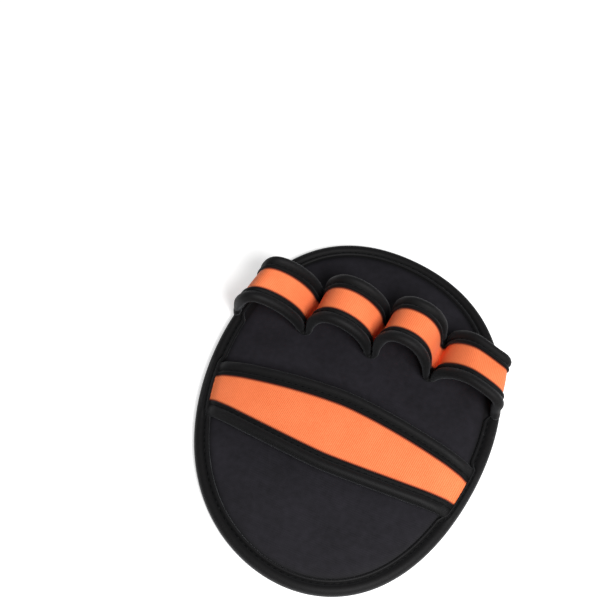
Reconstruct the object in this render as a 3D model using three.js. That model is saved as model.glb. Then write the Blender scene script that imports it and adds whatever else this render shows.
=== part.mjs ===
// Lifting glove: an oval padded palm with a bound edge, four finger loops made from one
// arched band, and a lens-shaped strap for the back of the hand. Millimetres, +Z up.
// The palm lies flat on z = 0 with its centre at the origin, the fingertips towards +Y,
// and the four loops stand in a row along X.

import * as THREE from 'three';

// Palm outline: an oval whose long axis leans from +Y towards -X
const PALM_WIDTH = 113.7;
const PALM_LENGTH = 149.6;
const PALM_LEAN = 12;
const PALM_STATIONS = 96;

// Swells of the oval. turns: how often a swell comes round; share: its height as a share of
// the radius; peak: phase in degrees
const PALM_SWELLS = [
  { turns: 3, share: 0.0166, peak: 69 },
  { turns: 4, share: 0.0139, peak: 119 },
];

// Padded sheet of the palm, and the rounding of its upper and lower corners
const PAD_THICKNESS = 4.2;
const PAD_CROWN_WIDTH = 4.5;
const PAD_CROWN_DROP = 0.35;
const PAD_CORNER = 0.5;

// Clearance between pieces that are sewn to each other
const SEAM_GAP = 0.3;

// Binding tape folded round the edge of the palm
const TAPE_WIDTH = 5.6;
const TAPE_HEIGHT = 4.8;
const TAPE_FABRIC = 1.0;

// Folded neoprene edges of the finger band and of the hand strap
const EDGE_WIDTH = 5.8;
const FOLD_FABRIC = 1.1;
const FOLD_GAP = 0.5;
const ELASTIC_THICKNESS = 1.4;
// Share of the thickness that is left where a band is sewn flat
const SEWN_SHARE = 0.6;

// Finger band: width from the wrist side to the fingertip side, and the tallest loop
const BAND_WIDTH = 22;
const LOOP_RISE = 22;
const LOOP_BULGE = 6.5;
// Share of a bulge that is left on the wrist side of the band
const WRIST_BULGE_SHARE = 0.55;
const LOOP_SEGMENTS = 12;
// Slack between the two flanks that meet at a seam, to each side
const SEAM_SPREAD = 0.35;
// Place of the row of loops: its foremost seam, and how far the row curves back from it
const ROW_FORWARD = 21.8;
const ROW_BOW = 9.6;

// Hand strap: place of its centre line, its widths, and the height of its bow
const STRAP_BACK = 15.7;
const STRAP_END_WIDTH = 22.2;
const STRAP_MID_WIDTH = 33;
const STRAP_TAPER_POWER = 1.5;
const STRAP_BOW = 6;
const STRAP_SEGMENTS = 20;
const STRAP_SEWN_LENGTH = 12;

// Seams of the finger band, from the left end to the right end.
// along: share of the row's length; back: share of ROW_BOW; fan: sideways run per mm of width
const SEAMS = [
  { along: 0, back: 1, fan: 0 },
  { along: 0.252, back: 0.19, fan: -0.02 },
  { along: 0.508, back: 0.03, fan: 0.01 },
  { along: 0.735, back: 0, fan: -0.02 },
  { along: 1, back: 0.5, fan: 0 },
];

// Loops between the seams. rise: share of LOOP_RISE at the wrist side; tipRise: the same at
// the fingertip side; crest: place of the top as a share of the loop's span; left and right:
// fullness of each flank; leftBulge and rightBulge: shares of LOOP_BULGE that a flank leans out
const LOOPS = [
  { rise: 0.98, tipRise: 1.0, crest: 0.3, left: 2.6, right: 1.5, leftBulge: 0.35, rightBulge: 0 },
  { rise: 0.8, tipRise: 0.84, crest: 0.42, left: 2.1, right: 1.9, leftBulge: 0, rightBulge: 0 },
  { rise: 1.0, tipRise: 0.9, crest: 0.46, left: 2.3, right: 2.3, leftBulge: 0, rightBulge: 0 },
  { rise: 0.8, tipRise: 0.7, crest: 0.6, left: 1.6, right: 2.4, leftBulge: 0, rightBulge: 1 },
];

const { degToRad, lerp } = THREE.MathUtils;

// Sizes that follow from the driving ones
const slotHalf = ELASTIC_THICKNESS / 2 + FOLD_GAP;
const edgeHalf = slotHalf + FOLD_FABRIC;
const elasticHalf = ELASTIC_THICKNESS / 2;
const elasticInset = FOLD_FABRIC + FOLD_GAP;
const sewnThickness = 2 * edgeHalf * SEWN_SHARE;

// Point of the palm's outline at an angle, in the plane
function outlinePoint(angle) {
  let swell = 1;
  for (const { turns, share, peak } of PALM_SWELLS) {
    swell += share * Math.cos(turns * angle - degToRad(peak));
  }
  const x = (PALM_WIDTH / 2) * Math.cos(angle) * swell;
  const y = (PALM_LENGTH / 2) * Math.sin(angle) * swell;
  return new THREE.Vector2(x, y).rotateAround(new THREE.Vector2(), degToRad(PALM_LEAN));
}

// The same point moved inwards, square to the outline
function insetPoint(angle, inset) {
  const step = 0.01;
  const point = outlinePoint(angle);
  const run = outlinePoint(angle + step).sub(outlinePoint(angle - step)).normalize();
  return new THREE.Vector2(point.x - run.y * inset, point.y + run.x * inset);
}

// X of the inset outline on one side (-1 left, 1 right) at a height Y, found by halving
function sideX(side, y, inset) {
  const reach = 1.2;
  let low = -reach;
  let high = reach;
  const at = (turn) => insetPoint(side > 0 ? turn : Math.PI - turn, inset);
  for (let step = 0; step < 40; step += 1) {
    const middle = (low + high) / 2;
    if (at(middle).y < y) low = middle;
    else high = middle;
  }
  return at((low + high) / 2).x;
}

// Closed geometry from points and triangles, turned so that its faces point out
function closedGeometry(points, triangles) {
  let volume = 0;
  for (const [a, b, c] of triangles) {
    const cross = new THREE.Vector3().crossVectors(points[b], points[c]);
    volume += points[a].dot(cross);
  }
  const facing = volume < 0 ? triangles.map(([a, b, c]) => [a, c, b]) : triangles;
  const geometry = new THREE.BufferGeometry();
  geometry.setFromPoints(points);
  geometry.setIndex(facing.flat());
  geometry.computeVertexNormals();
  return geometry;
}

// Triangles that join ring to ring, where each ring holds the same number of points
function bandTriangles(rings, size, wrap) {
  const triangles = [];
  const last = wrap ? rings : rings - 1;
  for (let ring = 0; ring < last; ring += 1) {
    const here = ring * size;
    const next = ((ring + 1) % rings) * size;
    for (let k = 0; k < size; k += 1) {
      const other = (k + 1) % size;
      triangles.push([here + k, here + other, next + other]);
      triangles.push([here + k, next + other, next + k]);
    }
  }
  return triangles;
}

// Solid swept through sections of one outline; the outline gives the triangles of its ends
function sweptSolid(sections, outline) {
  const size = outline.length;
  const triangles = bandTriangles(sections.length, size, false);
  const cap = THREE.ShapeUtils.triangulateShape(outline, []);
  const end = (sections.length - 1) * size;
  const sameWay = THREE.ShapeUtils.isClockWise(outline) === false;
  for (const [a, b, c] of cap) {
    const near = sameWay ? [c, b, a] : [a, b, c];
    const far = sameWay ? [a, b, c] : [c, b, a];
    triangles.push(near);
    triangles.push(far.map((k) => k + end));
  }
  return closedGeometry(sections.flat(), triangles);
}

// Angles of the stations round the palm
const palmAngles = Array.from(
  { length: PALM_STATIONS },
  (_, k) => (k / PALM_STATIONS) * 2 * Math.PI,
);

// Palm pad: rings from the upper face, round the thin border inside the tape, to the lower face
function palmPad() {
  const inner = TAPE_WIDTH + SEAM_GAP;
  const outer = TAPE_FABRIC + SEAM_GAP;
  const borderTop = TAPE_HEIGHT - TAPE_FABRIC - SEAM_GAP;
  const borderBottom = TAPE_FABRIC + SEAM_GAP;
  const profile = [
    { inset: inner + PAD_CROWN_WIDTH, z: PAD_THICKNESS },
    { inset: inner + PAD_CORNER, z: PAD_THICKNESS - PAD_CROWN_DROP / 2 },
    { inset: inner, z: PAD_THICKNESS - PAD_CROWN_DROP },
    { inset: inner, z: borderTop },
    { inset: outer + PAD_CORNER, z: borderTop },
    { inset: outer, z: borderTop - PAD_CORNER },
    { inset: outer, z: borderBottom + PAD_CORNER },
    { inset: outer + PAD_CORNER, z: borderBottom },
    { inset: inner, z: borderBottom },
    { inset: inner, z: PAD_CORNER },
    { inset: inner + PAD_CORNER, z: 0 },
  ];
  const rings = profile.map(({ inset, z }) => palmAngles.map((angle) => {
    const point = insetPoint(angle, inset);
    return new THREE.Vector3(point.x, point.y, z);
  }));
  const size = PALM_STATIONS;
  const triangles = bandTriangles(rings.length, size, false);
  const face = THREE.ShapeUtils.triangulateShape(
    rings[0].map((point) => new THREE.Vector2(point.x, point.y)),
    [],
  );
  const lower = (rings.length - 1) * size;
  for (const [a, b, c] of face) {
    triangles.push([c, b, a]);
    triangles.push([lower + a, lower + b, lower + c]);
  }
  return closedGeometry(rings.flat(), triangles);
}

// Edge binding: a C-shaped section, open inwards, carried all round the palm
function edgeBinding() {
  const top = TAPE_HEIGHT;
  const lip = TAPE_FABRIC;
  const nose = TAPE_FABRIC * 1.6;
  const shoulder = TAPE_FABRIC * 0.5;
  const chamfer = TAPE_FABRIC * 0.35;
  const upper = [
    { inset: TAPE_WIDTH, z: top - lip },
    { inset: TAPE_WIDTH, z: top - chamfer },
    { inset: TAPE_WIDTH - chamfer, z: top },
    { inset: nose, z: top },
    { inset: shoulder, z: top - shoulder },
    { inset: 0, z: top - nose },
  ];
  const section = [
    ...upper,
    ...upper.map(({ inset, z }) => ({ inset, z: top - z })).reverse(),
    { inset: lip, z: lip },
    { inset: lip, z: top - lip },
  ];
  const rings = palmAngles.map((angle) => section.map(({ inset, z }) => {
    const point = insetPoint(angle, inset);
    return new THREE.Vector3(point.x, point.y, z);
  }));
  const triangles = bandTriangles(rings.length, section.length, true);
  return closedGeometry(rings.flat(), triangles);
}

// Section of a folded edge: s runs in from the rounded rim, o up from the middle of the elastic
function foldedEdgeOutline() {
  const half = edgeHalf;
  const rim = half * 0.75;
  const shoulder = half * 0.25;
  const chamfer = FOLD_FABRIC * 0.3;
  const upper = [
    [EDGE_WIDTH, slotHalf],
    [EDGE_WIDTH, half - chamfer],
    [EDGE_WIDTH - chamfer, half],
    [rim, half],
    [shoulder, half - shoulder],
    [0, half - rim],
  ];
  const lower = upper.map(([s, o]) => [s, -o]).reverse();
  const slot = [[FOLD_FABRIC, -slotHalf], [FOLD_FABRIC, slotHalf]];
  return [...upper, ...lower, ...slot].map(([s, o]) => new THREE.Vector2(s, o));
}

// Section of the elastic: x is a share of its width, y the height from its middle
function elasticOutline() {
  const shares = [0, 0.22, 0.5, 0.78, 1];
  const upper = shares.map((share) => new THREE.Vector2(share, elasticHalf));
  const lower = shares.map((share) => new THREE.Vector2(share, -elasticHalf)).reverse();
  return [...upper, ...lower];
}

// Foot of a seam of the finger band, s from the wrist side: end seams lie on the binding tape,
// the others on the palm
function seamFoot(index, s) {
  const { along, back, fan } = SEAMS[index];
  const y = ROW_FORWARD - ROW_BOW * back + s;
  const seat = TAPE_WIDTH - SEAM_SPREAD - sewnThickness;
  if (index === 0) return new THREE.Vector3(sideX(-1, y, seat), y, TAPE_HEIGHT + SEAM_GAP);
  if (index === SEAMS.length - 1) {
    return new THREE.Vector3(sideX(1, y, seat), y, TAPE_HEIGHT + SEAM_GAP);
  }
  const x = lerp(seamFoot(0, 0).x, seamFoot(SEAMS.length - 1, 0).x, along) + fan * s;
  return new THREE.Vector3(x, y, PAD_THICKNESS + SEAM_GAP);
}

// Point of the band at a seam, where it is sewn flat
function seamPoint(index, s, o) {
  const foot = seamFoot(index, s);
  return foot.setZ(foot.z + sewnThickness / 2 + o * SEWN_SHARE);
}

// Middle of the wall of a loop: turn runs from 0 at the left foot to PI at the right foot
function loopMiddle(index, turn, s) {
  const loop = LOOPS[index];
  const left = seamFoot(index, s);
  const right = seamFoot(index + 1, s);
  const rising = Math.cos(turn) > 0;
  const power = 2 / (rising ? loop.left : loop.right);
  const out = Math.abs(Math.cos(turn)) ** power;
  const up = Math.abs(Math.sin(turn)) ** power;
  const inset = SEAM_SPREAD + sewnThickness / 2;
  const crest = lerp(left.x, right.x, loop.crest);
  const flank = rising ? left.x + inset : right.x - inset;
  const lean = LOOP_BULGE * lerp(WRIST_BULGE_SHARE, 1, s / BAND_WIDTH);
  const bulge = lean * (rising ? -loop.leftBulge : loop.rightBulge);
  const x = lerp(crest, flank, out) + bulge * Math.sin(2 * turn) ** 2;
  const share = THREE.MathUtils.clamp((x - left.x) / (right.x - left.x), 0, 1);
  const sewn = lerp(left.z, right.z, share) + sewnThickness;
  const top = PAD_THICKNESS + LOOP_RISE * lerp(loop.rise, loop.tipRise, s / BAND_WIDTH);
  return new THREE.Vector3(x, lerp(left.y, right.y, share), lerp(sewn, top, up));
}

// Point of a loop, o mm out from the middle of its wall
function loopPoint(index, turn, s, o) {
  const step = 0.02;
  const before = loopMiddle(index, Math.max(turn - step, 0), s);
  const after = loopMiddle(index, Math.min(turn + step, Math.PI), s);
  const run = after.sub(before).setY(0).normalize();
  const thickness = o * lerp(SEWN_SHARE, 1, THREE.MathUtils.smoothstep(Math.sin(turn), 0, 0.6));
  const out = new THREE.Vector3(-run.z * thickness, 0, run.x * thickness);
  return loopMiddle(index, turn, s).add(out);
}

// Sections of a piece of the finger band; place turns a point of its outline into s and o
function bandSections(outline, place) {
  const placed = outline.map(place);
  const sections = [placed.map(([s, o]) => seamPoint(0, s, o))];
  LOOPS.forEach((_, index) => {
    for (let step = 0; step <= LOOP_SEGMENTS; step += 1) {
      const turn = (step / LOOP_SEGMENTS) * Math.PI;
      sections.push(placed.map(([s, o]) => loopPoint(index, turn, s, o)));
    }
    sections.push(placed.map(([s, o]) => seamPoint(index + 1, s, o)));
  });
  return sections;
}

// Half of the hand strap's width; u runs from its left end to its right end
function strapHalf(u) {
  const outwards = Math.abs(2 * u - 1);
  return lerp(STRAP_MID_WIDTH, STRAP_END_WIDTH, outwards ** STRAP_TAPER_POWER) / 2;
}

// Point of the hand strap, v mm from its centre line towards the fingertips
function strapPoint(u, v, o) {
  const outwards = Math.abs(2 * u - 1);
  const endY = (v * STRAP_END_WIDTH) / 2 / strapHalf(u) - STRAP_BACK;
  const seat = TAPE_WIDTH + SEAM_GAP;
  const left = sideX(-1, endY, seat);
  const right = sideX(1, endY, seat);
  const fromEnd = ((1 - outwards) * (right - left)) / 2;
  const thickness = lerp(SEWN_SHARE, 1, THREE.MathUtils.smoothstep(fromEnd, 0, STRAP_SEWN_LENGTH));
  const underside = PAD_THICKNESS + SEAM_GAP + STRAP_BOW * (1 - outwards ** 2);
  return new THREE.Vector3(
    lerp(left, right, u),
    v - STRAP_BACK,
    underside + (o + edgeHalf) * thickness,
  );
}

// Sections of a piece of the hand strap; place gives v and o from a point of its outline
function strapSections(outline, place) {
  const sections = [];
  for (let step = 0; step <= STRAP_SEGMENTS; step += 1) {
    const u = step / STRAP_SEGMENTS;
    sections.push(outline.map((point) => strapPoint(u, ...place(point, strapHalf(u)))));
  }
  return sections;
}

// Places of the strap's three pieces across its width
function strapElasticPlace(point, half) {
  const reach = half - elasticInset;
  return [lerp(-reach, reach, point.x), point.y];
}
const strapWristPlace = (point, half) => [point.x - half, point.y];
const strapTipPlace = (point, half) => [half - point.x, point.y];

const foldedEdge = foldedEdgeOutline();
const mirroredEdge = [...foldedEdge].reverse();
const elastic = elasticOutline();
const elasticRun = BAND_WIDTH - 2 * elasticInset;

// Finishes
const neoprene = new THREE.MeshStandardMaterial({ color: 0x242228, roughness: 0.72, metalness: 0 });
const edging = new THREE.MeshStandardMaterial({ color: 0x202020, roughness: 0.62, metalness: 0 });
const orange = new THREE.MeshStandardMaterial({ color: 0xff7f4a, roughness: 0.6, metalness: 0 });

// Subcomponents, each a solid of its own
const pieces = [
  { name: 'palm_pad', geometry: palmPad(), material: neoprene },
  { name: 'edge_binding', geometry: edgeBinding(), material: edging },
  {
    name: 'finger_band',
    geometry: sweptSolid(
      bandSections(elastic, (point) => [elasticInset + point.x * elasticRun, point.y]),
      elastic,
    ),
    material: orange,
  },
  {
    name: 'finger_band_wrist_edge',
    geometry: sweptSolid(bandSections(foldedEdge, (point) => [point.x, point.y]), foldedEdge),
    material: edging,
  },
  {
    name: 'finger_band_tip_edge',
    geometry: sweptSolid(
      bandSections(mirroredEdge, (point) => [BAND_WIDTH - point.x, point.y]),
      mirroredEdge,
    ),
    material: edging,
  },
  {
    name: 'hand_strap',
    geometry: sweptSolid(strapSections(elastic, strapElasticPlace), elastic),
    material: orange,
  },
  {
    name: 'hand_strap_wrist_edge',
    geometry: sweptSolid(strapSections(foldedEdge, strapWristPlace), foldedEdge),
    material: edging,
  },
  {
    name: 'hand_strap_tip_edge',
    geometry: sweptSolid(strapSections(mirroredEdge, strapTipPlace), mirroredEdge),
    material: edging,
  },
];

const glove = new THREE.Group();
for (const { name, geometry, material } of pieces) {
  const mesh = new THREE.Mesh(geometry, material.clone());
  mesh.name = name;
  glove.add(mesh);
}

export default glove;
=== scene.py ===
"""Open lifting glove: an oval padded palm with a bound edge, four finger loops made from one
arched band, and a lens-shaped strap for the back of the hand."""

import math

import bpy
import numpy as np
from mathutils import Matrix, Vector


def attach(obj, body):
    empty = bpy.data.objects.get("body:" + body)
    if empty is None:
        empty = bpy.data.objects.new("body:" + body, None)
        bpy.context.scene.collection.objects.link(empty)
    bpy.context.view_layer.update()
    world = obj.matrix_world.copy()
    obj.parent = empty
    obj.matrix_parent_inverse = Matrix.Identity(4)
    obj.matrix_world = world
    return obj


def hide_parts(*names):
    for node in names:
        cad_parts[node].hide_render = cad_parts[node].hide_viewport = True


bl_info = {
    "name": "Lifting glove",
    "version": (1, 0, 0),
    "blender": (4, 5, 0),
    "location": "View3D > Sidebar > Glove",
    "description": "Builds an open lifting glove, piece by piece",
    "category": "Object",
}

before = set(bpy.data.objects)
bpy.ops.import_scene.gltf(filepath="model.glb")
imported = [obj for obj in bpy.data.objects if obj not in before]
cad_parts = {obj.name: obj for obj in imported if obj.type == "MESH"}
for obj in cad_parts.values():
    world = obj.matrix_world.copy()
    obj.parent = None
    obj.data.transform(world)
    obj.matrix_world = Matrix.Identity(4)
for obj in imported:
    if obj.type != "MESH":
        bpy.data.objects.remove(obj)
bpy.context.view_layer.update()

# Swells of the palm's oval. turns: how often a swell comes round; share: its height as a
# share of the radius; peak: phase in degrees
PALM_SWELLS = (
    {"turns": 3, "share": 0.0166, "peak": 69},
    {"turns": 4, "share": 0.0139, "peak": 119},
)

# Seams of the finger band, from the left end to the right end.
# along: share of the row's length; back: share of the row's bow; fan: sideways run per width
SEAMS = (
    {"along": 0, "back": 1, "fan": 0},
    {"along": 0.252, "back": 0.19, "fan": -0.02},
    {"along": 0.508, "back": 0.03, "fan": 0.01},
    {"along": 0.735, "back": 0, "fan": -0.02},
    {"along": 1, "back": 0.5, "fan": 0},
)

# Loops between the seams. rise: share of the tallest loop at the wrist side; tip_rise: the
# same at the fingertip side; crest: place of the top along the span; left and right:
# fullness of each flank; left_bulge and right_bulge: shares of the bulge of a flank
LOOPS = (
    {"rise": 0.98, "tip_rise": 1.0, "crest": 0.3, "left": 2.6, "right": 1.5,
     "left_bulge": -0.05, "right_bulge": 0},
    {"rise": 0.8, "tip_rise": 0.84, "crest": 0.42, "left": 2.1, "right": 1.9,
     "left_bulge": 0, "right_bulge": 0},
    {"rise": 1.0, "tip_rise": 0.9, "crest": 0.46, "left": 2.3, "right": 2.3,
     "left_bulge": 0, "right_bulge": 0},
    {"rise": 0.8, "tip_rise": 0.7, "crest": 0.6, "left": 1.6, "right": 2.4,
     "left_bulge": 0, "right_bulge": 1},
)

# Upper half of the folded edge's section in millimetres: distance in from the rolled rim,
# and height from the middle of the elastic
FOLD_PROFILE = (
    (0.0, 0.0), (0.06, 0.65), (0.3, 1.25), (0.75, 1.8), (1.4, 2.12), (2.1, 2.18),
    (2.8, 1.98), (3.4, 1.62), (3.85, 1.22), (4.2, 1.02), (4.55, 1.18), (4.85, 1.4),
    (5.2, 1.5), (5.55, 1.42), (5.76, 1.15), (5.8, 0.9), (5.7, 0.76),
)

# Upper half of the binding tape's section in millimetres: distance in from the palm's
# outline, and height
TAPE_PROFILE = (
    (0.0, 2.4), (0.05, 3.05), (0.25, 3.7), (0.7, 4.28), (1.3, 4.65), (2.0, 4.8),
    (2.7, 4.72), (3.2, 4.45), (3.6, 4.08), (3.9, 3.9), (4.2, 4.05), (4.45, 4.45),
    (4.75, 4.75), (5.05, 4.78), (5.3, 4.6), (5.5, 4.3), (5.56, 4.0), (5.45, 3.66),
)

# Places of the stitches in the two sections, in millimetres
FOLD_STITCH = (4.2, 1.04)
TAPE_STITCH = (3.9, 3.92)

# Places where the tape passes over the end of a strap. centre and reach: where along Y, in
# millimetres; side: -1 left, 1 right; retreat: how far its inner lip is held back; lift:
# how far it rises
TAPE_CROSSINGS = (
    {"side": -1, "centre": -15.7, "reach": 11.1, "retreat": 1.0, "lift": 1.2},
    {"side": 1, "centre": -15.7, "reach": 11.1, "retreat": 2.2, "lift": 1.0},
    {"side": -1, "centre": 30.0, "reach": 10.5, "retreat": 2.2, "lift": 0.0},
    {"side": 1, "centre": 30.5, "reach": 10.5, "retreat": 2.2, "lift": 0.0},
)

# Feet of the finger band's two ends, by seam. out and back: how far the foot is drawn
# outwards and towards the fingertips, in millimetres; share: share of the thickness there
END_FEET = {
    0: {"side": -1, "out": 3.0, "back": 4.6, "share": 0.62},
    4: {"side": 1, "out": 2.2, "back": 0.8, "share": 0.92},
}

MM = 0.001

# Depth under the tape at which the palm's wall ends
PAD_WALL = 1.3 * MM

SWELL_STEPS = 20


def length_property(name, description, default):
    """A size of the glove, in metres."""
    return bpy.props.FloatProperty(
        name=name,
        description=description,
        default=default,
        min=0.0,
        unit="LENGTH",
        subtype="DISTANCE",
        precision=4,
    )


def colour_property(name, description, default):
    """A colour of the glove or of the stage."""
    return bpy.props.FloatVectorProperty(
        name=name,
        description=description,
        default=default,
        size=3,
        min=0.0,
        max=1.0,
        subtype="COLOR",
    )


class GloveSizes(bpy.types.PropertyGroup):
    """Sizes that shape the glove."""

    palm_width: length_property("Palm width", "Width of the oval palm", 0.1137)
    palm_length: length_property("Palm length", "Length of the oval palm", 0.1496)
    palm_lean: bpy.props.FloatProperty(
        name="Palm lean",
        description="Turn of the oval's long axis away from the fingertips",
        default=math.radians(12),
        subtype="ANGLE",
        unit="ROTATION",
    )
    pad_thickness: length_property("Pad thickness", "Thickness of the padded palm", 0.0042)
    pad_swell: length_property("Pad swell", "Most that the padding rises between seams", 0.0006)
    seam_gap: length_property("Seam gap", "Clearance between pieces sewn together", 0.0003)
    tape_width: length_property("Tape width", "Width of the binding tape", 0.0056)
    tape_height: length_property("Tape height", "Height of the bound edge", 0.0048)
    edge_width: length_property("Folded edge width", "Width of a folded edge", 0.0058)
    edge_half: length_property("Folded edge half", "Half of a folded edge's thickness", 0.0023)
    elastic_thickness: length_property("Elastic thickness", "Thickness of the elastic", 0.0014)
    elastic_inset: length_property("Elastic inset", "Edge of the elastic inside a fold", 0.0016)
    sewn_share: bpy.props.FloatProperty(
        name="Sewn share",
        description="Share of the thickness that is left where a band is sewn flat",
        default=0.6,
        min=0.1,
        max=1.0,
        subtype="FACTOR",
    )
    pinch_share: bpy.props.FloatProperty(
        name="Pinch share",
        description="Share of the thickness at the bottom of a valley between two loops",
        default=0.12,
        min=0.05,
        max=1.0,
        subtype="FACTOR",
    )
    band_width: length_property("Band width", "Width of the finger band", 0.022)
    loop_rise: length_property("Loop rise", "Height of the tallest loop", 0.022)
    loop_bulge: length_property("Loop bulge", "Most that an outer flank leans out", 0.0065)
    wrist_bulge: bpy.props.FloatProperty(
        name="Wrist bulge",
        description="Share of a bulge that is left on the wrist side",
        default=0.55,
        min=0.0,
        max=1.0,
        subtype="FACTOR",
    )
    seam_spread: length_property("Seam spread", "Slack of two flanks at a seam", 0.00035)
    row_forward: length_property("Row place", "Foremost seam of the row of loops", 0.0218)
    row_bow: length_property("Row bow", "How far the row of loops curves back", 0.0096)
    strap_back: length_property("Strap place", "Strap's centre line behind the middle", 0.0157)
    strap_end: length_property("Strap end width", "Width of the strap at its ends", 0.0222)
    strap_mid: length_property("Strap middle width", "Width of the strap in its middle", 0.033)
    strap_taper: bpy.props.FloatProperty(
        name="Strap taper",
        description="How late the strap narrows towards its ends",
        default=1.5,
        min=0.5,
        max=4.0,
    )
    strap_bow: length_property("Strap bow", "Rise of the strap over the palm", 0.006)
    strap_sewn: length_property("Strap sewn length", "Length over which the strap thins", 0.012)
    strap_tuck: length_property("Strap tuck", "Length of the strap under the tape", 0.0012)
    stitch_pitch: length_property("Stitch pitch", "Distance from stitch to stitch", 0.0027)
    thread: length_property("Thread thickness", "Thickness of the sewing thread", 0.00042)


class GloveColours(bpy.types.PropertyGroup):
    """Colours of the glove's finishes and of the floor."""

    neoprene: colour_property("Neoprene", "Face of the palm", (0.0095, 0.0085, 0.0116))
    edging: colour_property("Edging", "Binding tape and folded edges", (0.0056, 0.0053, 0.0058))
    elastic: colour_property("Elastic", "Finger band and hand strap", (0.94, 0.21, 0.072))
    thread: colour_property("Thread", "Sewing thread", (0.003, 0.003, 0.0035))
    floor: colour_property("Floor", "Floor of the stage", (0.8, 0.8, 0.8))


def sizes():
    """The sizes that the user set."""
    return bpy.context.scene.glove_sizes


def colours():
    """The colours that the user set."""
    return bpy.context.scene.glove_colours


def blend(first, second, share):
    """Value between two others, by share."""
    return first + (second - first) * share


def ease(value, low, high):
    """Smooth step from 0 at low to 1 at high."""
    share = np.clip((value - low) / (high - low), 0, 1)
    return share * share * (3 - 2 * share)


def outline(angle):
    """Points of the palm's outline at angles, in the plane."""
    size = sizes()
    swell = np.ones_like(angle)
    for row in PALM_SWELLS:
        swell = swell + row["share"] * np.cos(row["turns"] * angle - math.radians(row["peak"]))
    x = size.palm_width / 2 * np.cos(angle) * swell
    y = size.palm_length / 2 * np.sin(angle) * swell
    turn = size.palm_lean
    return np.stack(
        [x * math.cos(turn) - y * math.sin(turn), x * math.sin(turn) + y * math.cos(turn)], -1
    )


def inset_outline(angle, inset):
    """The same points moved inwards, square to the outline."""
    point = outline(angle)
    run = outline(angle + 0.01) - outline(angle - 0.01)
    run = run / np.linalg.norm(run, axis=-1, keepdims=True)
    return np.stack([point[..., 0] - run[..., 1] * inset, point[..., 1] + run[..., 0] * inset], -1)


def side_x(side, y, inset):
    """X of the inset outline on one side, -1 left or 1 right, at heights y."""
    turn = np.linspace(-1.2, 1.2, 2401)
    points = inset_outline(turn if side > 0 else math.pi - turn, inset)
    return np.interp(y, points[:, 1], points[:, 0])


def seam_foot(index, across):
    """Foot of a seam of the finger band: x, y and z, across from the wrist side."""
    size = sizes()
    seam = SEAMS[index]
    y = size.row_forward - size.row_bow * seam["back"] + across
    seat = size.tape_width - size.seam_spread - 2 * size.edge_half * size.sewn_share
    if index in (0, len(SEAMS) - 1):
        x = side_x(-1 if index == 0 else 1, y, seat)
        return x, y, np.full_like(x, size.tape_height + size.seam_gap)
    left = seam_foot(0, np.zeros(1))[0]
    right = seam_foot(len(SEAMS) - 1, np.zeros(1))[0]
    x = blend(left, right, seam["along"]) + seam["fan"] * across
    return x, y, np.full_like(x, size.pad_thickness + size.seam_gap)


def foot_shift(index, across):
    """How far the foot of an end of the band is drawn away from its seam, in the plane."""
    row = END_FEET.get(index)
    if row is None:
        return np.zeros((len(across), 3))
    x, y, _ = seam_foot(index, across)
    drawn = side_x(row["side"], y + row["back"] * MM, 0) - side_x(row["side"], y, 0)
    drawn = drawn + row["side"] * row["out"] * MM
    return np.stack([drawn, np.full_like(x, row["back"] * MM), np.zeros_like(x)], -1)


def seam_turn(index, swing, across):
    """Middle of the band's wall in the valley at a seam; swing runs from 0 on the left
    flank to pi on the right flank."""
    size = sizes()
    x, y, z = seam_foot(index, across)
    sewn = 2 * size.edge_half * size.sewn_share
    reach = size.seam_spread + sewn / 2
    depth = 1 - abs(math.cos(swing))
    row = END_FEET.get(index)
    if row:
        foot = np.stack([x - row["side"] * reach, y, z + sewn * (1 - depth)], -1)
        return foot + foot_shift(index, across)
    x = x - reach * math.copysign(1 - depth, math.cos(swing))
    return np.stack([x, y, z + sewn - 0.85 * sewn * depth], -1)


def loop_middle(index, turn, across):
    """Middle of the wall of a loop; turn runs from 0 at the left foot to pi at the right."""
    size = sizes()
    loop = LOOPS[index]
    left = seam_foot(index, across)
    right = seam_foot(index + 1, across)
    rising = math.cos(turn) > 0
    power = 2 / (loop["left"] if rising else loop["right"])
    out = abs(math.cos(turn)) ** power
    up = abs(math.sin(turn)) ** power
    sewn = 2 * size.edge_half * size.sewn_share
    inset = size.seam_spread + sewn / 2
    crest = blend(left[0], right[0], loop["crest"])
    flank = left[0] + inset if rising else right[0] - inset
    lean = size.loop_bulge * blend(size.wrist_bulge, 1, across / size.band_width)
    bulge = lean * (-loop["left_bulge"] if rising else loop["right_bulge"])
    x = blend(crest, flank, out) + bulge * math.sin(2 * turn) ** 2
    share = np.clip((x - left[0]) / (right[0] - left[0]), 0, 1)
    foot = blend(left[2], right[2], share) + sewn
    rise = blend(loop["rise"], loop["tip_rise"], across / size.band_width)
    top = size.pad_thickness + size.loop_rise * rise
    middle = np.stack([x, blend(left[1], right[1], share), blend(foot, top, up)], -1)
    return middle + foot_shift(index if rising else index + 1, across) * (1 - up) ** 1.4


def even_turns(index, count):
    """Turns that put points at even distances along a loop."""
    turn = np.linspace(0, math.pi, 1201)
    middle = np.full(1, sizes().band_width / 2)
    line = np.array([loop_middle(index, t, middle)[0] for t in turn])
    run = np.concatenate([[0], np.cumsum(np.linalg.norm(np.diff(line, axis=0), axis=1))])
    return np.interp(np.linspace(0, run[-1], count), run, turn)


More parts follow.
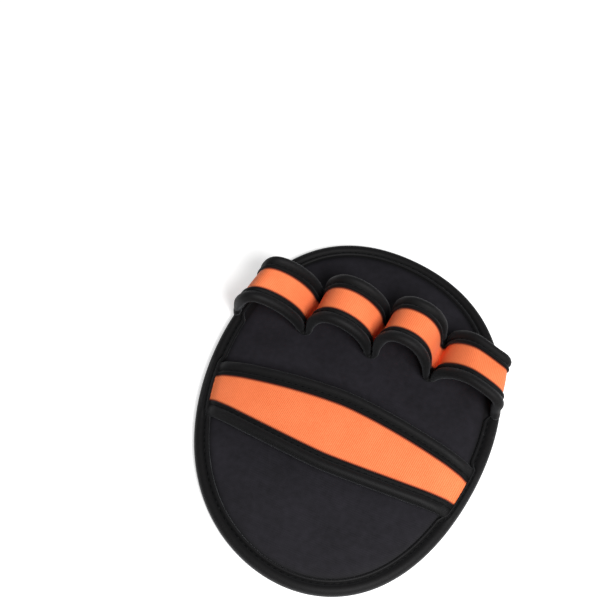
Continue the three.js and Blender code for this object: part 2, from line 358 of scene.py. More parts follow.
def band_stations(per_loop, per_seam):
    """Stations along the whole finger band, as (place, index, angle, share of thickness)."""
    size = sizes()
    last = len(SEAMS) - 1
    stations = []
    for index in range(len(SEAMS)):
        start = math.pi / 2 if index == 0 else 0
        stop = math.pi / 2 if index == last else math.pi
        count = per_seam if index in (0, last) else 2 * per_seam
        for swing in np.linspace(start, stop, count + 1)[: None if index == last else -1]:
            share = END_FEET[index]["share"] if index in END_FEET else size.sewn_share
            pinch = share if index in END_FEET else size.pinch_share
            share = blend(share, pinch, 1 - abs(math.cos(swing)))
            stations.append((seam_turn, index, swing, share))
        if index < last:
            for turn in even_turns(index, per_loop + 1)[:-1]:
                foot = END_FEET.get(index if turn < math.pi / 2 else index + 1)
                share = foot["share"] if foot else size.sewn_share
                share = blend(share, 1, float(ease(math.sin(turn), 0, 0.6)))
                stations.append((loop_middle, index, turn, share))
    return stations


def soften(line, times):
    """A line of points with its kinks smoothed and its ends kept."""
    for _ in range(times):
        line[1:-1] = (line[:-2] + 2 * line[1:-1] + line[2:]) / 4
    return line


def band_surface(stations, across, height):
    """Points of the finger band: a row for each station, and one for each pair of across
    and height in a section."""
    middle = np.array([place(index, angle, across) for place, index, angle, _ in stations])
    middle = soften(middle, 4)
    share = soften(np.array([station[3] for station in stations]), 4)
    run = np.gradient(middle, axis=0)
    run[..., 1] = 0
    run = run / np.linalg.norm(run, axis=-1, keepdims=True)
    out = np.stack([-run[..., 2], np.zeros_like(run[..., 0]), run[..., 0]], -1)
    return middle + out * (height[None, :] * share[:, None])[..., None]


def strap_half(u):
    """Half of the hand strap's width; u runs from its left end to its right end."""
    size = sizes()
    outwards = np.abs(2 * u - 1)
    return blend(size.strap_mid, size.strap_end, outwards**size.strap_taper) / 2


def strap_surface(u, v, height):
    """Points of the hand strap: v from its centre line towards the fingertips, and height
    from the middle of the elastic. The ends pass under the lifted tape."""
    size = sizes()
    outwards = np.abs(2 * u - 1)
    end_y = v * size.strap_end / 2 / strap_half(u) - size.strap_back
    seat = size.tape_width + size.seam_gap - size.strap_tuck
    left = side_x(-1, end_y, seat - TAPE_CROSSINGS[0]["retreat"] * MM)
    right = side_x(1, end_y, seat - TAPE_CROSSINGS[1]["retreat"] * MM)
    from_end = (1 - outwards) * (right - left) / 2
    thickness = blend(0.3, size.sewn_share, ease(from_end, 0, 0.35 * size.strap_sewn))
    thickness = blend(thickness, 1, ease(from_end, 0, size.strap_sewn))
    dip = 0.7 * MM * (1 - ease(from_end, 0, 0.4 * size.strap_sewn))
    under = size.pad_thickness + size.seam_gap + size.strap_bow * (1 - outwards**2) - dip
    z = under + (height + size.edge_half) * thickness
    return np.stack([blend(left, right, u), v - size.strap_back, z], -1)


def smooth_profile(points, per_span):
    """Closed profile carried smoothly through points."""
    points = np.array(points, float)
    before = np.roll(points, 1, axis=0)
    after = np.roll(points, -1, axis=0)
    beyond = np.roll(points, -2, axis=0)
    rows = []
    for t in np.arange(per_span) / per_span:
        rows.append(
            0.5
            * (
                2 * points
                + (after - before) * t
                + (2 * before - 5 * points + 4 * after - beyond) * t**2
                + (3 * points - before - 3 * after + beyond) * t**3
            )
        )
    return np.stack(rows, axis=1).reshape(-1, 2)


def fold_section():
    """Closed section of a folded edge: distance in from the rim, and height."""
    upper = np.array(FOLD_PROFILE[::-1]) * MM
    lower = np.array(FOLD_PROFILE[1:]) * (MM, -MM)
    slot = np.array([(1.3, -0.78), (1.3, 0.78)]) * MM
    return smooth_profile(np.concatenate([upper, lower, slot]), 2)


def elastic_section(width):
    """Closed section of the elastic: distance across from one edge, and height."""
    half = sizes().elastic_thickness / 2
    share = np.linspace(0, 1, 13)
    upper = np.stack([share * width, np.full_like(share, half)], -1)
    lower = np.stack([share[::-1] * width, np.full_like(share, -half)], -1)
    return np.concatenate([upper, lower])


def section_mesh(name, sections, closed, cloth, seam):
    """Mesh through sections of one closed outline. Its Cloth map holds the distances along
    and across the piece, and its Seam map the distance from a seam."""
    count, size = sections.shape[:2]
    mesh = bpy.data.meshes.new(name)
    k = np.arange(size)
    following = (k + 1) % size
    faces = []
    for ring in range(count if closed else count - 1):
        here = ring * size
        there = (ring + 1) % count * size
        faces.extend(
            np.stack([here + k, here + following, there + following, there + k], -1).tolist()
        )
    if not closed:
        faces.append(k[::-1].tolist())
        faces.append((k + (count - 1) * size).tolist())
    mesh.from_pydata(sections.reshape(-1, 3).tolist(), [], faces)
    along, across = (np.broadcast_to(values, (count, size)) for values in cloth)
    set_map(mesh, "Cloth", along, across)
    seam = np.broadcast_to(seam, (count, size))
    set_map(mesh, "Seam", seam, np.zeros_like(seam))
    return finished_object(name, mesh)


def set_map(mesh, name, first, second):
    """Stores two distances of each point, in metres, for the finishes to read."""
    values = np.stack([np.ravel(first), np.ravel(second)], -1).astype(np.float32)
    layer = mesh.uv_layers.new(name=name)
    corners = np.zeros(len(mesh.loops), np.int32)
    mesh.loops.foreach_get("vertex_index", corners)
    layer.uv.foreach_set("vector", values[corners].ravel())


def finished_object(name, mesh):
    """Object of a mesh, with outward faces and smooth shading."""
    mesh.validate()
    mesh.update()
    thing = bpy.data.objects.new(name, mesh)
    bpy.context.collection.objects.link(thing)
    bpy.ops.object.select_all(action="DESELECT")
    bpy.context.view_layer.objects.active = thing
    thing.select_set(True)
    bpy.ops.object.mode_set(mode="EDIT")
    bpy.ops.mesh.select_all(action="SELECT")
    bpy.ops.mesh.normals_make_consistent(inside=False)
    bpy.ops.object.mode_set(mode="OBJECT")
    bpy.ops.object.shade_smooth()
    return thing


def distance_along(line):
    """Distance of each point of a line from its start."""
    return np.concatenate([[0], np.cumsum(np.linalg.norm(np.diff(line, axis=0), axis=1))])


def stitch_row(line, out, closed):
    """Vertices and faces of a row of stitches that lie along a line of points, each out of
    the cloth by its normal."""
    size = sizes()
    if closed:
        line = np.concatenate([line, line[:1]])
        out = np.concatenate([out, out[:1]])
    run = distance_along(line)
    margin = 0 if closed else size.stitch_pitch / 2
    count = max(1, round((run[-1] - 2 * margin) / size.stitch_pitch))
    pitch = (run[-1] - 2 * margin) / count
    rings = 7
    sides = 6
    vertices = []
    faces = []
    for stitch in range(count):
        share = np.linspace(0, 1, rings)
        place = margin + pitch * (stitch + 0.1 + 0.8 * share)
        centre = np.stack([np.interp(place, run, line[:, axis]) for axis in range(3)], -1)
        normal = np.stack([np.interp(place, run, out[:, axis]) for axis in range(3)], -1)
        normal /= np.linalg.norm(normal, axis=1, keepdims=True)
        forward = np.gradient(centre, axis=0)
        side = np.cross(forward, normal)
        side /= np.linalg.norm(side, axis=1, keepdims=True)
        arch = np.sin(math.pi * share)
        centre = centre + normal * (size.thread * (0.55 * arch - 0.25))[:, None]
        radius = size.thread / 2 * (0.45 + 0.55 * arch**0.5)
        base = len(vertices)
        for ring in range(rings):
            for corner in range(sides):
                angle = 2 * math.pi * corner / sides
                offset = math.cos(angle) * side[ring] + math.sin(angle) * normal[ring]
                vertices.append(centre[ring] + offset * radius[ring])
        for ring in range(rings - 1):
            for corner in range(sides):
                a = base + ring * sides + corner
                b = base + ring * sides + (corner + 1) % sides
                faces.append((a, b, b + sides, a + sides))
        faces.append(tuple(base + corner for corner in reversed(range(sides))))
        faces.append(tuple(base + (rings - 1) * sides + corner for corner in range(sides)))
    return vertices, faces


def stitches_object(name, rows):
    """Object that holds rows of stitches, each given as (line, out, closed)."""
    vertices = []
    faces = []
    for line, out, closed in rows:
        points, quads = stitch_row(line, out, closed)
        base = len(vertices)
        vertices.extend(points)
        faces.extend([tuple(base + k for k in quad) for quad in quads])
    mesh = bpy.data.meshes.new(name)
    mesh.from_pydata([tuple(point) for point in vertices], [], faces)
    return finished_object(name, mesh)


class Signal:
    """A socket of a node, so that sums on it can be written as plain maths."""

    def __init__(self, finish, socket):
        self.finish = finish
        self.socket = socket

    def sum_with(self, operation, first, second):
        """Adds a Math node for an operation on two values or signals."""
        return self.finish.node("ShaderNodeMath", {"operation": operation}, {0: first, 1: second})

    def __add__(self, other):
        return self.sum_with("ADD", self, other)

    __radd__ = __add__

    def __sub__(self, other):
        return self.sum_with("SUBTRACT", self, other)

    def __rsub__(self, other):
        return self.sum_with("SUBTRACT", other, self)

    def __mul__(self, other):
        return self.sum_with("MULTIPLY", self, other)

    __rmul__ = __mul__


class Finish:
    """A material under construction."""

    def __init__(self, name, settings):
        self.material = bpy.data.materials.new(name)
        self.material.use_nodes = True
        self.tree = self.material.node_tree
        self.shader = self.tree.nodes["Principled BSDF"]
        for socket, value in settings.items():
            self.shader.inputs[socket].default_value = value

    def node(self, kind, settings, values, output=0):
        """Adds a node, sets it, fills its sockets with values or links, and gives an output."""
        node = self.tree.nodes.new(kind)
        for key, value in settings.items():
            if key == "stops":
                self.set_stops(node.color_ramp, value)
            else:
                setattr(node, key, value)
        for socket, value in values.items():
            self.fill(node.inputs[socket], value)
        return Signal(self, node.outputs[output])

    def set_stops(self, ramp, stops):
        """Sets a ramp's stops, each a place and a brightness."""
        while len(ramp.elements) < len(stops):
            ramp.elements.new(1.0)
        for element, (place, level) in zip(ramp.elements, stops):
            element.position = place
            element.color = (level, level, level, 1.0)

    def fill(self, socket, value):
        """Links a signal to a socket, or sets a plain value on it."""
        if isinstance(value, Signal):
            self.tree.links.new(value.socket, socket)
        else:
            socket.default_value = value

    def drive(self, socket, value):
        """Feeds a socket of the shader."""
        self.fill(self.shader.inputs[socket], value)

    def place(self):
        """Place in the glove's own frame, in metres."""
        return self.node("ShaderNodeTexCoord", {}, {}, "Object")

    def cloth(self):
        """Distances along and across the cloth, in metres, as two signals."""
        return self.parts(self.node("ShaderNodeUVMap", {"uv_map": "Cloth"}, {}))

    def painted_shade_near_seam(self, reach, stops):
        """Painted shade by distance from a seam: stops hold millimetres and levels."""
        distance = self.parts(self.node("ShaderNodeUVMap", {"uv_map": "Seam"}, {}))[0]
        shares = [(place / reach, level) for place, level in stops]
        values = {0: distance * (1 / (reach * MM))}
        return self.node("ShaderNodeValToRGB", {"stops": shares}, values)

    def parts(self, vector):
        """X and Y of a vector."""
        x = self.node("ShaderNodeSeparateXYZ", {}, {0: vector}, "X")
        return x, Signal(self, x.socket.node.outputs["Y"])

    def sine(self, value):
        """Sine of a value, from -1 to 1."""
        return self.node("ShaderNodeMath", {"operation": "SINE"}, {0: value})

    def noise(self, vector, scale, detail):
        """Cloudy noise from 0 to 1; scale is in clouds per metre."""
        values = {"Vector": vector, "Scale": scale, "Detail": detail}
        return self.node("ShaderNodeTexNoise", {}, values, 0)

    def mix(self, share, first, second):
        """Colour between two others."""
        return self.node(
            "ShaderNodeMix", {"data_type": "RGBA"}, {0: share, 6: first, 7: second}, 2
        )

    def bump(self, height, distance):
        """Normal of a surface raised by a height from 0 to 1, in metres."""
        values = {"Strength": 1.0, "Distance": distance, "Height": height}
        return self.node("ShaderNodeBump", {}, values)


def tint(colour, share):
    """Colour made brighter or darker, with full alpha."""
    return tuple(min(1.0, channel * share) for channel in colour) + (1.0,)


def neoprene_finish():
    """Smooth knit-faced neoprene: a fine knit, soft clouds of wear, satin sheen, and painted shade
    along the tape's inner edge.
    """
    finish = Finish(
        "neoprene knit face",
        {"Specular IOR Level": 0.22, "Sheen Weight": 0.05, "Sheen Roughness": 0.5,
         "Sheen Tint": (0.75, 0.75, 1.0, 1.0)},
    )
    place = finish.place()
    x, y = finish.parts(place)
    turns = 2 * math.pi / (0.9 * MM)
    knit = finish.sine(x * turns) * finish.sine(y * turns + finish.sine(x * turns) * 0.8)
    clouds = finish.noise(place, 70.0, 5.0)
    flecks = finish.noise(place, 420.0, 3.0)
    grain = finish.noise(place, 1300.0, 3.0)
    colour = colours().neoprene
    shade = clouds * 0.9 + flecks * 0.9 + knit * 0.06 - 0.4
    base = finish.mix(shade, tint(colour, 0.4), tint(colour, 1.6))
    # Painted shade: the face is darkened where it meets the tape's inner lip, standing in for the
    # shade of the tape's step.
    rim = finish.painted_shade_near_seam(10.0, ((0.0, 0.0), (6.0, 0.0), (6.5, 0.5), (7.4, 0.85), (9.2, 1.0)))
    finish.drive("Base Color", finish.mix(rim, tint(colour, 0.15), base))
    finish.drive("Roughness", 0.56 + clouds * 0.14 + grain * 0.08)
    height = 0.4 + knit * 0.2 + flecks * 0.5 + grain * 0.4
    finish.drive("Normal", finish.bump(height, 0.07 * MM))
    return finish.material


def edging_finish(name, reach, stops):
    """Soft black fabric of the tape and of the folded edges: a fine knit, with painted shade set
    by distance from the seam, deep along the stitched channel."""
    finish = Finish(
        name,
        {"Specular IOR Level": 0.17, "Sheen Weight": 0.06, "Sheen Roughness": 0.45,
         "Sheen Tint": (0.92, 0.94, 1.0, 1.0)},
    )
    along, across = finish.cloth()
    place = finish.place()
    turns = 2 * math.pi / (0.7 * MM)
    rib = finish.sine(along * turns) * finish.sine(across * turns)
    clouds = finish.noise(place, 150.0, 4.0)
    flecks = finish.noise(place, 700.0, 3.0)
    grain = finish.noise(place, 1500.0, 3.0)
    colour = colours().edging
    shade = clouds * 0.5 + flecks * 0.7 + rib * 0.08 - 0.1
    base = finish.mix(shade, tint(colour, 0.5), tint(colour, 1.6))
    # Painted shade: the colour is darkened by distance from the seam as the stops give, in the
    # channel and at the edges where shade falls.
    channel = finish.painted_shade_near_seam(reach, stops)
    finish.drive("Base Color", finish.mix(channel, tint(colour, 0.1), base))
    finish.drive("Roughness", 0.66 - channel * 0.14 + clouds * 0.1 + grain * 0.06)
    height = 0.4 + rib * 0.2 + flecks * 0.5 + grain * 0.4
    finish.drive("Normal", finish.bump(height, 0.08 * MM))
    return finish.material


def tape_finish():
    """Binding tape with painted shade: the stitched channel and the step down to the pad darkened
    deeply, the outer roll a little, so the free edge stays pale.
    """
    # Painted shade by inset: a little on the outer roll, deep in the stitched channel and at the
    # inner lip beside the pad.
    stops = ((0.0, 0.8), (3.0, 0.65), (3.5, 0.1), (4.3, 0.1), (4.6, 0.95), (5.2, 1.0), (5.5, 0.05))
    return edging_finish("black binding tape", 6.0, stops)


def fold_finish():
    """Folded edge with painted light and shade: the middle of the roll keeps the plain colour as a
    pale band, while the outer rim, the stitched channel and the lip beside the elastic are
    darkened.
    """
    # Painted light and shade across the fold: dark outer rim, pale middle of the roll, dark
    # stitched channel and lip.
    stops = ((0.0, 0.15), (0.7, 0.4), (1.6, 1.0), (2.5, 0.85), (3.5, 0.2), (4.6, 0.12), (5.8, 0.0))
    return edging_finish("black folded neoprene", 6.0, stops)


def elastic_finish():
    """Orange woven elastic: fine ribs across it, slight changes of dye, and a deep red line
    of shade beside the folded edges."""
    finish = Finish(
        "orange woven elastic",
        {"Specular IOR Level": 0.25, "Sheen Weight": 0.08, "Sheen Roughness": 0.5,
         "Sheen Tint": (1.0, 0.7, 0.5, 1.0)},
    )
    along, across = finish.cloth()
    place = finish.place()
    turns = 2 * math.pi / (0.7 * MM)
    wobble = finish.noise(place, 160.0, 2.0) * 3.0
    rib = finish.sine(along * turns - across * (turns * 0.06) + wobble)
    picks = finish.sine(across * turns * 2.1)
    patches = finish.noise(place, 45.0, 2.0)
    clouds = finish.noise(place, 110.0, 3.0)
    grain = finish.noise(place, 1300.0, 3.0)
    colour = colours().elastic
    shade = 0.5 + rib * (patches * 0.75) + (clouds - 0.5) * 0.6 + (grain - 0.5) * 0.7
    deep = (colour[0] * 0.88, colour[1] * 0.76, colour[2] * 0.66, 1.0)
    light = (min(1.0, colour[0] * 1.06), colour[1] * 1.2, colour[2] * 1.3, 1.0)
    base = finish.mix(shade, deep, light)
    lip = finish.painted_shade_near_seam(2.0, ((0.0, 0.0), (0.45, 0.02), (0.9, 0.7), (1.4, 1.0)))
    shadow = (colour[0] * 0.12, colour[1] * 0.05, colour[2] * 0.05, 1.0)
    finish.drive("Base Color", finish.mix(lip, shadow, base))
    finish.drive("Roughness", 0.6 + grain * 0.12)
    height = 0.5 + rib * 0.35 + picks * 0.12 + (grain - 0.5) * 0.5
    finish.drive("Normal", finish.bump(height, 0.09 * MM))
    return finish.material


def thread_finish():
    """Black sewing thread with its twist."""
    finish = Finish("black thread", {"Specular IOR Level": 0.1, "Sheen Weight": 0.0})
    place = finish.place()
    x, y = finish.parts(place)
    turns = 2 * math.pi / (0.35 * MM)
    twist = finish.sine((x + y) * turns)
    grain = finish.noise(place, 2500.0, 2.0)
    colour = colours().thread
    finish.drive("Base Color", finish.mix(grain, tint(colour, 0.7), tint(colour, 1.5)))
    finish.drive("Roughness", 0.42 + grain * 0.15)
    finish.drive("Normal", finish.bump(0.5 + twist * 0.4, 0.04 * MM))
    return finish.material


def material_of(name, make):
    """The material of a name, made once."""
    return bpy.data.materials.get(name) or make()


def dress(piece, slot, name, make, *nodes):
    """Gives a piece its finish and its place on the glove; the slot is not used."""
    piece.data.materials.append(material_of(name, make))
    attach(piece, "root")
    if nodes:
        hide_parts(*nodes)
    return piece


def square_to_disc(count):
    """Grid of a square laid on a disc of radius 1."""
    share = np.linspace(-1, 1, count)
    x, y = np.meshgrid(share, share, indexing="ij")
    return np.stack([x * np.sqrt(1 - y * y / 2), y * np.sqrt(1 - x * x / 2)], -1)


def pad_height(inset):
    """Height of the palm's face by distance in from the outline: flat, rounded down at the
    tape, and thin inside it."""
    size = sizes()
    inner = size.tape_width + size.seam_gap
    border = size.tape_height - PAD_WALL
    face = size.pad_thickness - 0.25 * MM * (1 - ease(inset, inner, inner + 4.5 * MM))
    face = face - 0.3 * MM * (1 - ease(inset, inner - 0.2 * MM, inner + 1.2 * MM))
    return blend(border, face, ease(inset, inner - 0.5 * MM, inner + 0.4 * MM))


class GLOVE_OT_palm_pad(bpy.types.Operator):
    """Build the padded palm and let its padding swell between the seams."""

    bl_idname = "glove.palm_pad"
    bl_label = "Palm pad"

    def execute(self, context):
        size = sizes()
        count = 75
        disc = square_to_disc(count)
        radius = np.linalg.norm(disc, axis=-1)
        angle = np.arctan2(disc[..., 1], disc[..., 0])
        rim = inset_outline(angle, PAD_WALL)
        flat = rim * radius[..., None]
        inset = PAD_WALL + (1 - radius) * np.linalg.norm(rim, axis=-1)
        upper = np.concatenate([flat, pad_height(inset)[..., None]], -1)
        depth = PAD_WALL * (1 - ease(inset, size.tape_width, size.tape_width + 0.8 * MM))
        lower = np.concatenate([flat, depth[..., None]], -1)
        piece = self.pad_object(upper, lower, inset, count)
        self.swell(piece, inset, count)
        dress(piece, "neoprene_black", "neoprene knit face", neoprene_finish, "palm_pad")
        return {"FINISHED"}

    def pad_object(self, upper, lower, inset, count):
        """Closed mesh of the two faces and the wall between them."""
        vertices = np.concatenate([upper.reshape(-1, 3), lower.reshape(-1, 3)])
        grid = np.arange(count * count).reshape(count, count)
        half = count * count
        quads = np.stack([grid[:-1, :-1], grid[1:, :-1], grid[1:, 1:], grid[:-1, 1:]], -1)
        faces = quads.reshape(-1, 4).tolist()
        faces += (quads.reshape(-1, 4)[:, ::-1] + half).tolist()
        edge = np.concatenate([grid[:, 0], grid[-1, 1:], grid[-2::-1, -1], grid[0, -2:0:-1]])
        for a, b in zip(edge, np.roll(edge, -1)):
            faces.append([int(b), int(a), int(a + half), int(b + half)])
        mesh = bpy.data.meshes.new("palm_pad_cloth")
        mesh.from_pydata(vertices.tolist(), [], faces)
        inset = np.concatenate([inset.ravel(), inset.ravel()])
        set_map(mesh, "Seam", inset, np.zeros_like(inset))
        return finished_object("palm_pad_cloth", mesh)

    def held(self, place, inset):
        """Share by which each point of the face is held by a seam, from 0 to 1."""
        size = sizes()
        hold = 1 - ease(inset, size.tape_width + 0.5 * MM, size.tape_width + 5 * MM)
        across = np.linspace(0, size.band_width, 12)
        for index in range(1, len(SEAMS) - 1):
            x, y, _ = seam_foot(index, across)
            line = np.stack([x, y], -1)
            near = np.linalg.norm(place[:, None, :] - line[None], axis=-1).min(1)
            hold = np.maximum(hold, 1 - ease(near, 2.5 * MM, 6 * MM))
        for side in (-1, 1):
            v = np.linspace(-size.strap_end / 2, size.strap_end / 2, 12)
            y = v - size.strap_back
            line = np.stack([side_x(side, y, size.tape_width + 2 * MM), y], -1)
            near = np.linalg.norm(place[:, None, :] - line[None], axis=-1).min(1)
            hold = np.maximum(hold, 1 - ease(near, 4 * MM, 9 * MM))
        return hold

    def swell(self, piece, inset, count):
        """Cloth simulation of the face under the pressure of its padding."""
        size = sizes()
        half = count * count
        rest = np.zeros(len(piece.data.vertices) * 3)
        piece.data.vertices.foreach_get("co", rest)
        rest = rest.reshape(-1, 3)
        hold = np.ones(len(rest))
        hold[:half] = self.held(rest[:half, :2], inset.ravel())
        group = piece.vertex_groups.new(name="held")
        for index in range(len(rest)):
            group.add([index], float(hold[index] > 0.98), "REPLACE")
        cloth = piece.modifiers.new("Padding", "CLOTH")
        cloth.settings.quality = 6
        cloth.settings.mass = 0.3
        cloth.settings.tension_stiffness = 20
        cloth.settings.compression_stiffness = 20
        cloth.settings.bending_stiffness = 2
        cloth.settings.vertex_group_mass = "held"
        cloth.settings.use_pressure = True
        cloth.settings.uniform_pressure_force = 4
        cloth.settings.effector_weights.gravity = 0
        cloth.collision_settings.use_collision = False
        scene = bpy.context.scene
        last = SWELL_STEPS
        for step in range(1, last + 1):
            scene.frame_set(step)
        graph = bpy.context.evaluated_depsgraph_get()
        swollen = piece.evaluated_get(graph).to_mesh()
        moved = np.zeros(len(rest) * 3)
        swollen.vertices.foreach_get("co", moved)
        piece.evaluated_get(graph).to_mesh_clear()
        moved = moved.reshape(-1, 3) - rest
        scene.frame_set(1)
        piece.modifiers.remove(cloth)
        rise = np.clip(moved[:, 2], 0, None)
        cap = size.pad_swell * (1 - hold)
        rise = cap * (1 - np.exp(-rise / np.maximum(cap, 1e-6)))
        rise[half:] = 0
        points = rest.copy()
        points[:, 2] += rise
        piece.data.vertices.foreach_set("co", points.ravel())
        piece.data.update()
        smooth = piece.modifiers.new("Smooth", "SUBSURF")
        smooth.levels = 1
        smooth.render_levels = 1


class GLOVE_OT_edge_binding(bpy.types.Operator):
    """Fold the binding tape round the edge of the palm."""

    bl_idname = "glove.edge_binding"
    bl_label = "Edge binding"

    def execute(self, context):
        angle = np.linspace(0, 2 * math.pi, 480, endpoint=False)
        section = self.section()
        rings = []
        for turn in angle:
            rings.append(self.placed(np.full(len(section), turn), section))
        along = distance_along(outline(angle))
        cloth = (along[:, None], distance_along(section))
        piece = section_mesh("edge_binding_tape", np.array(rings), True, cloth, section[:, 0])
        dress(piece, "edge_black", "black binding tape", tape_finish, "edge_binding")
        self.stitch(angle)
        return {"FINISHED"}

    def section(self):
        """Closed section of the tape: inset and height."""
        upper = np.array(TAPE_PROFILE[::-1])
        lower = np.array(TAPE_PROFILE[1:])
        lower[:, 1] = np.maximum(sizes().tape_height / MM - lower[:, 1], 0)
        slot = np.array([(1.1, 1.2), (1.0, 2.4), (1.1, 3.6)])
        return smooth_profile(np.concatenate([upper, lower, slot]) * MM, 2)

    def placed(self, angle, section):
        """Points of the tape round the palm, with its inner lip held back and lifted where a
        strap's end passes under it."""
        edge = outline(angle)
        retreat = np.zeros(len(angle))
        lift = np.zeros(len(angle))
        for row in TAPE_CROSSINGS:
            near = np.abs(edge[:, 1] / MM - row["centre"]) / row["reach"]
            shape = (1 - ease(near, 0.9, 1.3)) * (edge[:, 0] * row["side"] > 0)
            retreat = np.maximum(retreat, shape * row["retreat"] * MM)
            lift = np.maximum(lift, shape * row["lift"] * MM)
        upper = ease(section[:, 1], 1.6 * MM, 3.4 * MM)
        inset = section[:, 0] * (1 - upper * retreat / sizes().tape_width)
        height = section[:, 1] + lift * upper * ease(section[:, 0], 1 * MM, 4.2 * MM)
        return np.column_stack([inset_outline(angle, inset), height])

    def stitch(self, angle):
        """Rows of stitches on the upper and on the lower side of the tape."""
        up = np.tile((0.0, 0.0, 1.0), (len(angle), 1))
        inset, height = (value * MM for value in TAPE_STITCH)
        rows = []
        for z, out in ((height, up), (sizes().tape_height - height, -up)):
            rows.append((self.placed(angle, np.tile((inset, z), (len(angle), 1))), out, True))
        piece = stitches_object("tape_stitches", rows)
        dress(piece, "edge_black", "black thread", thread_finish)


class GLOVE_OT_finger_band(bpy.types.Operator):
    """Arch the finger band into its four loops, with a folded edge on each side."""

    bl_idname = "glove.finger_band"
    bl_label = "Finger band"

    def execute(self, context):
        size = sizes()
        stations = band_stations(60, 5)
        run = size.band_width - 2 * size.elastic_inset
        section = elastic_section(run)
        across = section[:, 0] + size.elastic_inset
        rings = band_surface(stations, across, section[:, 1])
        along = distance_along(rings.mean(1))
        seam = np.minimum(across, size.band_width - across) - size.edge_width
        cloth = (along[:, None], across)
        piece = section_mesh("finger_band_elastic", rings, False, cloth, seam)
        dress(piece, "elastic_orange", "orange woven elastic", elastic_finish, "finger_band")
        fold = fold_section()
        spread = distance_along(fold)
        inset, height = (value * MM for value in FOLD_STITCH)
        rows = []
        for side, node in ((0, "finger_band_wrist_edge"), (1, "finger_band_tip_edge")):
            place = fold[:, 0] if side == 0 else size.band_width - fold[:, 0]
            rings = band_surface(stations, place, fold[:, 1])
            cloth = (along[:, None], spread)
            edge = section_mesh(node + "_fold", rings, False, cloth, fold[:, 0])
            dress(edge, "edge_black", "black folded neoprene", fold_finish, node)
            seam = np.full(3, inset if side == 0 else size.band_width - inset)
            lines = band_surface(stations, seam, np.array([height, 0.0, -height]))
            out = lines[:, 0] - lines[:, 1]
            rows.append((lines[:, 0], out, False))
            rows.append((lines[:, 2], -out, False))
        piece = stitches_object("finger_band_stitches", rows)
        dress(piece, "edge_black", "black thread", thread_finish)
        return {"FINISHED"}


class GLOVE_OT_hand_strap(bpy.types.Operator):
    """Lay the lens-shaped hand strap across the palm, with a folded edge on each side."""

    bl_idname = "glove.hand_strap"
    bl_label = "Hand strap"

    def execute(self, context):
        size = sizes()
        stations = np.linspace(0, 1, 97)
        section = elastic_section(1.0)
        rings = []
        for u in stations:
            reach = strap_half(u) - size.elastic_inset
            v = (section[:, 0] * 2 - 1) * reach
            rings.append(strap_surface(u, v, section[:, 1]))
        rings = np.array(rings)
        along = distance_along(rings.mean(1))
        widths = 2 * (strap_half(stations) - size.elastic_inset)
        across = rings[:, :, 1] + size.strap_back
        seam = strap_half(stations)[:, None] - size.edge_width - np.abs(across)
        cloth = (rings[:, :, 0], across)
        piece = section_mesh("hand_strap_elastic", rings, False, cloth, seam)
        dress(piece, "elastic_orange", "orange woven elastic", elastic_finish, "hand_strap")
        area = float(np.sum((widths[1:] + widths[:-1]) / 2 * np.diff(along)))
        self.edges(stations, along)
        return {"FINISHED"}

    def edges(self, stations, along):
        """Folded edges of the strap and their stitches."""
        fold = fold_section()
        spread = distance_along(fold)
        inset, height = (value * MM for value in FOLD_STITCH)
        rows = []
        for side, node in ((-1, "hand_strap_wrist_edge"), (1, "hand_strap_tip_edge")):
            rings = []
            lines = []
            for u in stations:
                half = strap_half(u)
                rings.append(strap_surface(u, side * (half - fold[:, 0]), fold[:, 1]))
                seam = np.full(3, side * (half - inset))
                lines.append(strap_surface(u, seam, np.array([height, 0.0, -height])))
            cloth = (along[:, None], spread)
            edge = section_mesh(node + "_fold", np.array(rings), False, cloth, fold[:, 0])
            dress(edge, "edge_black", "black folded neoprene", fold_finish, node)
            lines = np.array(lines)
            out = lines[:, 0] - lines[:, 1]
            rows.append((lines[:, 0], out, False))
            rows.append((lines[:, 2], -out, False))
        piece = stitches_object("hand_strap_stitches", rows)
        dress(piece, "edge_black", "black thread", thread_finish)


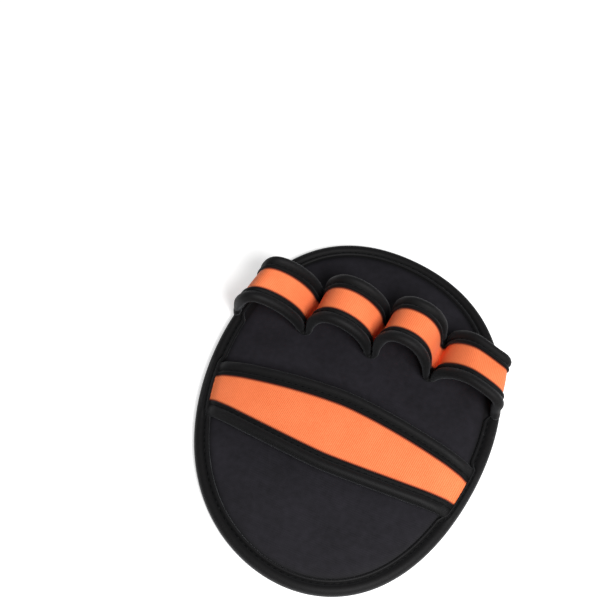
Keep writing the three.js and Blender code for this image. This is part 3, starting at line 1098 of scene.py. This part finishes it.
class GLOVE_OT_stage(bpy.types.Operator):
    """Set the pale floor, the soft lights and the camera."""

    bl_idname = "glove.stage"
    bl_label = "Stage"

    def execute(self, context):
        self.floor()
        self.sky()
        self.lamp("key light", (0.3, -0.26, 0.5), 0.24, 5.4)
        self.camera()
        bpy.context.scene.view_settings.view_transform = "Standard"
        return {"FINISHED"}

    def floor(self):
        """Wide pale floor that the glove lies on."""
        reach = 3.0
        corners = [(-reach, -reach, 0), (reach, -reach, 0), (reach, reach, 0), (-reach, reach, 0)]
        mesh = bpy.data.meshes.new("floor")
        mesh.from_pydata(corners, [], [(0, 1, 2, 3)])
        floor = bpy.data.objects.new("floor", mesh)
        bpy.context.collection.objects.link(floor)
        finish = Finish(
            "pale floor",
            {"Roughness": 0.9, "Specular IOR Level": 0.0, "Emission Color": (1, 1, 1, 1),
             "Emission Strength": 0.55},
        )
        clouds = finish.noise(finish.place(), 4.0, 2.0)
        colour = colours().floor
        finish.drive("Base Color", finish.mix(clouds, tint(colour, 0.995), tint(colour, 1.005)))
        mesh.materials.append(finish.material)

    def sky(self):
        """Even light from all round."""
        world = bpy.data.worlds.new("soft room")
        world.use_nodes = True
        background = world.node_tree.nodes["Background"]
        background.inputs["Color"].default_value = (1.0, 1.0, 1.0, 1.0)
        background.inputs["Strength"].default_value = 0.2
        bpy.context.scene.world = world

    def lamp(self, name, place, side, power):
        """Square soft light at a place, turned to the glove; power is in watts."""
        data = bpy.data.lights.new(name, "AREA")
        data.shape = "SQUARE"
        data.size = side
        data.energy = power
        lamp = bpy.data.objects.new(name, data)
        lamp.location = place
        lamp.rotation_euler = (-Vector(place)).to_track_quat("-Z", "Y").to_euler()
        bpy.context.collection.objects.link(lamp)

    def camera(self):
        """Camera at the photo's angle, to the right of the wrist side and above."""
        data = bpy.data.cameras.new("camera")
        data.lens = 85
        data.sensor_width = 36
        camera = bpy.data.objects.new("camera", data)
        turn = math.radians(25.6)
        rise = math.radians(58)
        aim = Vector((-0.03755, 0.03707, 0))
        distance = 0.56667
        back = Vector(
            (math.sin(turn) * math.cos(rise), -math.cos(turn) * math.cos(rise), math.sin(rise))
        )
        camera.location = aim + back * distance
        camera.rotation_mode = "QUATERNION"
        camera.rotation_quaternion = (-back).to_track_quat("-Z", "Y")
        bpy.context.collection.objects.link(camera)
        bpy.context.scene.camera = camera


OPERATORS = (
    GLOVE_OT_stage,
    GLOVE_OT_palm_pad,
    GLOVE_OT_edge_binding,
    GLOVE_OT_finger_band,
    GLOVE_OT_hand_strap,
)


class GLOVE_PT_panel(bpy.types.Panel):
    """Panel that lists the glove's pieces, sizes and colours."""

    bl_idname = "GLOVE_PT_panel"
    bl_label = "Lifting glove"
    bl_space_type = "VIEW_3D"
    bl_region_type = "UI"
    bl_category = "Glove"

    def draw(self, context):
        column = self.layout.column()
        for group in (context.scene.glove_sizes, context.scene.glove_colours):
            for name in group.__annotations__:
                column.prop(group, name)
        for operator in OPERATORS:
            column.operator(operator.bl_idname)


CLASSES = (GloveSizes, GloveColours) + OPERATORS + (GLOVE_PT_panel,)


def register():
    """Add the glove's classes and its settings."""
    for item in CLASSES:
        bpy.utils.register_class(item)
    bpy.types.Scene.glove_sizes = bpy.props.PointerProperty(type=GloveSizes)
    bpy.types.Scene.glove_colours = bpy.props.PointerProperty(type=GloveColours)


def unregister():
    """Take the glove's classes and settings away."""
    del bpy.types.Scene.glove_colours
    del bpy.types.Scene.glove_sizes
    for item in reversed(CLASSES):
        bpy.utils.unregister_class(item)


def main():
    """Build the glove and its stage."""
    register()
    bpy.ops.glove.stage()
    bpy.ops.glove.palm_pad()
    bpy.ops.glove.edge_binding()
    bpy.ops.glove.finger_band()
    bpy.ops.glove.hand_strap()


if __name__ == "__main__":
    main()
